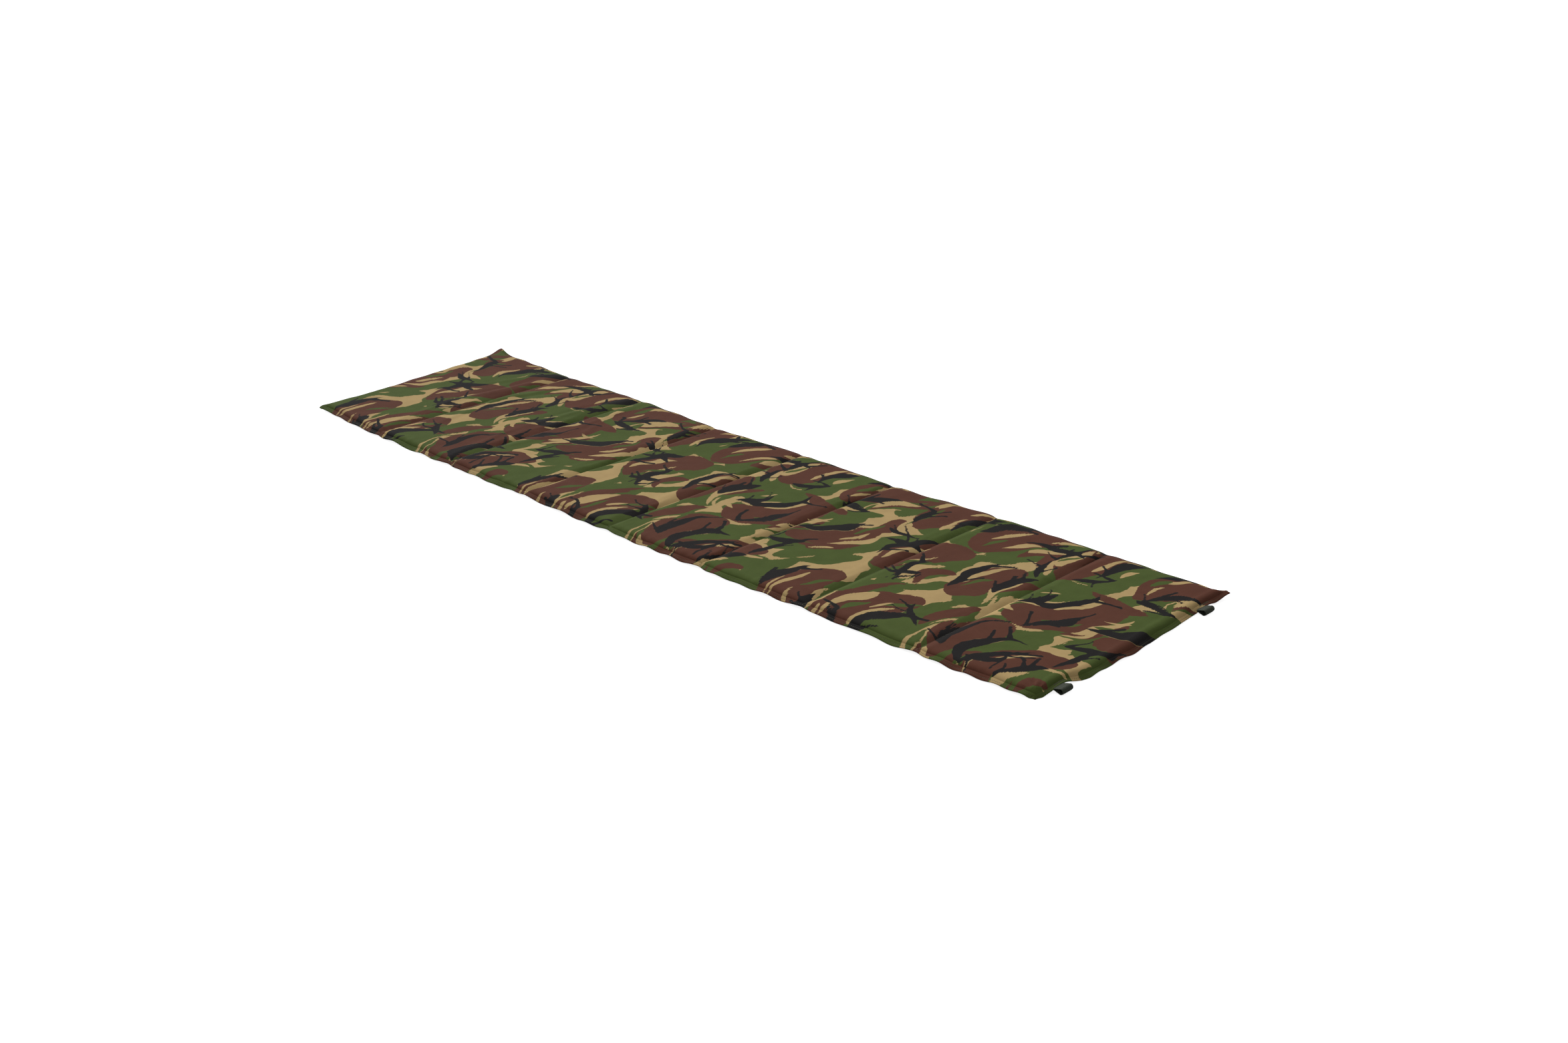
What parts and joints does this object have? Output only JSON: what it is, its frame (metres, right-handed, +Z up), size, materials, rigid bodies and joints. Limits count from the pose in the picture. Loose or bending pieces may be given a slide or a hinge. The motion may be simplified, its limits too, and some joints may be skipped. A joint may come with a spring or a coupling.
{
  "type": "folding padded ground mat",
  "caption": "Long narrow padded ground mat of foam panels in camouflage fabric, folding accordion-wise at sewn cross seams, with webbing loops at one end.",
  "frame": {"origin": "floor level under the middle of the whole object, strap loops included", "axes": "+X along the mat towards the end with the strap loops, +Y across it, +Z up"},
  "size_m": [1.9183, 0.5, 0.014],
  "materials": {
    "camouflage_fabric": "matt woven polyester-cotton, brush-stroke camouflage print in sand, green, brown and black",
    "foam": "matt closed-cell foam",
    "thread": "matt olive polyester thread",
    "webbing": "ribbed olive polyester webbing with a slight sheen"
  },
  "bodies": {
    "panel_1": {"foam_core_1": "foam", "top_cover_1": "camouflage_fabric", "base_cover_1": "camouflage_fabric", "edge_hem_1": "camouflage_fabric", "edge_stitching_1": "thread", "end_hem_head": "camouflage_fabric"},
    "panel_2": {"foam_core_2": "foam", "top_cover_2": "camouflage_fabric", "base_cover_2": "camouflage_fabric", "edge_hem_2": "camouflage_fabric", "edge_stitching_2": "thread"},
    "panel_3": {"foam_core_3": "foam", "top_cover_3": "camouflage_fabric", "base_cover_3": "camouflage_fabric", "edge_hem_3": "camouflage_fabric", "edge_stitching_3": "thread"},
    "panel_4": {"foam_core_4": "foam", "top_cover_4": "camouflage_fabric", "base_cover_4": "camouflage_fabric", "edge_hem_4": "camouflage_fabric", "edge_stitching_4": "thread"},
    "panel_5": {"foam_core_5": "foam", "top_cover_5": "camouflage_fabric", "base_cover_5": "camouflage_fabric", "edge_hem_5": "camouflage_fabric", "edge_stitching_5": "thread"},
    "panel_6": {"foam_core_6": "foam", "top_cover_6": "camouflage_fabric", "base_cover_6": "camouflage_fabric", "edge_hem_6": "camouflage_fabric", "edge_stitching_6": "thread"},
    "panel_7": {"foam_core_7": "foam", "top_cover_7": "camouflage_fabric", "base_cover_7": "camouflage_fabric", "edge_hem_7": "camouflage_fabric", "edge_stitching_7": "thread"},
    "panel_8": {"foam_core_8": "foam", "top_cover_8": "camouflage_fabric", "base_cover_8": "camouflage_fabric", "edge_hem_8": "camouflage_fabric", "edge_stitching_8": "thread", "end_hem_foot": "camouflage_fabric", "bar_tack_near": "thread", "bar_tack_far": "thread"},
    "fold_1": {"fold_web_1": "camouflage_fabric", "fold_stitching_1": "thread"},
    "fold_2": {"fold_web_2": "camouflage_fabric", "fold_stitching_2": "thread"},
    "fold_3": {"fold_web_3": "camouflage_fabric", "fold_stitching_3": "thread"},
    "fold_4": {"fold_web_4": "camouflage_fabric", "fold_stitching_4": "thread"},
    "fold_5": {"fold_web_5": "camouflage_fabric", "fold_stitching_5": "thread"},
    "fold_6": {"fold_web_6": "camouflage_fabric", "fold_stitching_6": "thread"},
    "fold_7": {"fold_web_7": "camouflage_fabric", "fold_stitching_7": "thread"},
    "loop_near": {"strap_loop_near": "webbing"},
    "loop_far": {"strap_loop_far": "webbing"}
  },
  "joints": [
    {"name": "fold_1_head_side", "type": "hinge", "parent": "panel_1", "child": "fold_1", "pos_m": [-0.73065, 0, 0.007], "axis": [0, -1, 0], "range_deg": [-90, 90]},
    {"name": "fold_1_foot_side", "type": "hinge", "parent": "fold_1", "child": "panel_2", "pos_m": [-0.71265, 0, 0.007], "axis": [0, -1, 0], "range_deg": [-90, 90]},
    {"name": "fold_2_head_side", "type": "hinge", "parent": "panel_2", "child": "fold_2", "pos_m": [-0.49315, 0, 0.007], "axis": [0, 1, 0], "range_deg": [-90, 90]},
    {"name": "fold_2_foot_side", "type": "hinge", "parent": "fold_2", "child": "panel_3", "pos_m": [-0.47515, 0, 0.007], "axis": [0, 1, 0], "range_deg": [-90, 90]},
    {"name": "fold_3_head_side", "type": "hinge", "parent": "panel_3", "child": "fold_3", "pos_m": [-0.25565, 0, 0.007], "axis": [0, -1, 0], "range_deg": [-90, 90]},
    {"name": "fold_3_foot_side", "type": "hinge", "parent": "fold_3", "child": "panel_4", "pos_m": [-0.23765, 0, 0.007], "axis": [0, -1, 0], "range_deg": [-90, 90]},
    {"name": "fold_4_head_side", "type": "hinge", "parent": "panel_4", "child": "fold_4", "pos_m": [-0.01815, 0, 0.007], "axis": [0, 1, 0], "range_deg": [-90, 90]},
    {"name": "fold_4_foot_side", "type": "hinge", "parent": "fold_4", "child": "panel_5", "pos_m": [-0.00015, 0, 0.007], "axis": [0, 1, 0], "range_deg": [-90, 90]},
    {"name": "fold_5_head_side", "type": "hinge", "parent": "panel_5", "child": "fold_5", "pos_m": [0.21935, 0, 0.007], "axis": [0, -1, 0], "range_deg": [-90, 90]},
    {"name": "fold_5_foot_side", "type": "hinge", "parent": "fold_5", "child": "panel_6", "pos_m": [0.23735, 0, 0.007], "axis": [0, -1, 0], "range_deg": [-90, 90]},
    {"name": "fold_6_head_side", "type": "hinge", "parent": "panel_6", "child": "fold_6", "pos_m": [0.45685, 0, 0.007], "axis": [0, 1, 0], "range_deg": [-90, 90]},
    {"name": "fold_6_foot_side", "type": "hinge", "parent": "fold_6", "child": "panel_7", "pos_m": [0.47485, 0, 0.007], "axis": [0, 1, 0], "range_deg": [-90, 90]},
    {"name": "fold_7_head_side", "type": "hinge", "parent": "panel_7", "child": "fold_7", "pos_m": [0.69435, 0, 0.007], "axis": [0, -1, 0], "range_deg": [-90, 90]},
    {"name": "fold_7_foot_side", "type": "hinge", "parent": "fold_7", "child": "panel_8", "pos_m": [0.71235, 0, 0.007], "axis": [0, -1, 0], "range_deg": [-90, 90]},
    {"name": "loop_near_flop", "type": "hinge", "parent": "panel_8", "child": "loop_near", "pos_m": [0.94275, -0.19, 0.007], "axis": [0, -1, 0], "range_deg": [-60, 60]},
    {"name": "loop_far_flop", "type": "hinge", "parent": "panel_8", "child": "loop_far", "pos_m": [0.94275, 0.19, 0.007], "axis": [0, -1, 0], "range_deg": [-60, 60]}
  ],
  "couplings": [
    {"joint": "fold_1_foot_side", "follows": "fold_1_head_side", "ratio": 1},
    {"joint": "fold_2_foot_side", "follows": "fold_2_head_side", "ratio": 1},
    {"joint": "fold_3_foot_side", "follows": "fold_3_head_side", "ratio": 1},
    {"joint": "fold_4_foot_side", "follows": "fold_4_head_side", "ratio": 1},
    {"joint": "fold_5_foot_side", "follows": "fold_5_head_side", "ratio": 1},
    {"joint": "fold_6_foot_side", "follows": "fold_6_head_side", "ratio": 1},
    {"joint": "fold_7_foot_side", "follows": "fold_7_head_side", "ratio": 1}
  ]
}
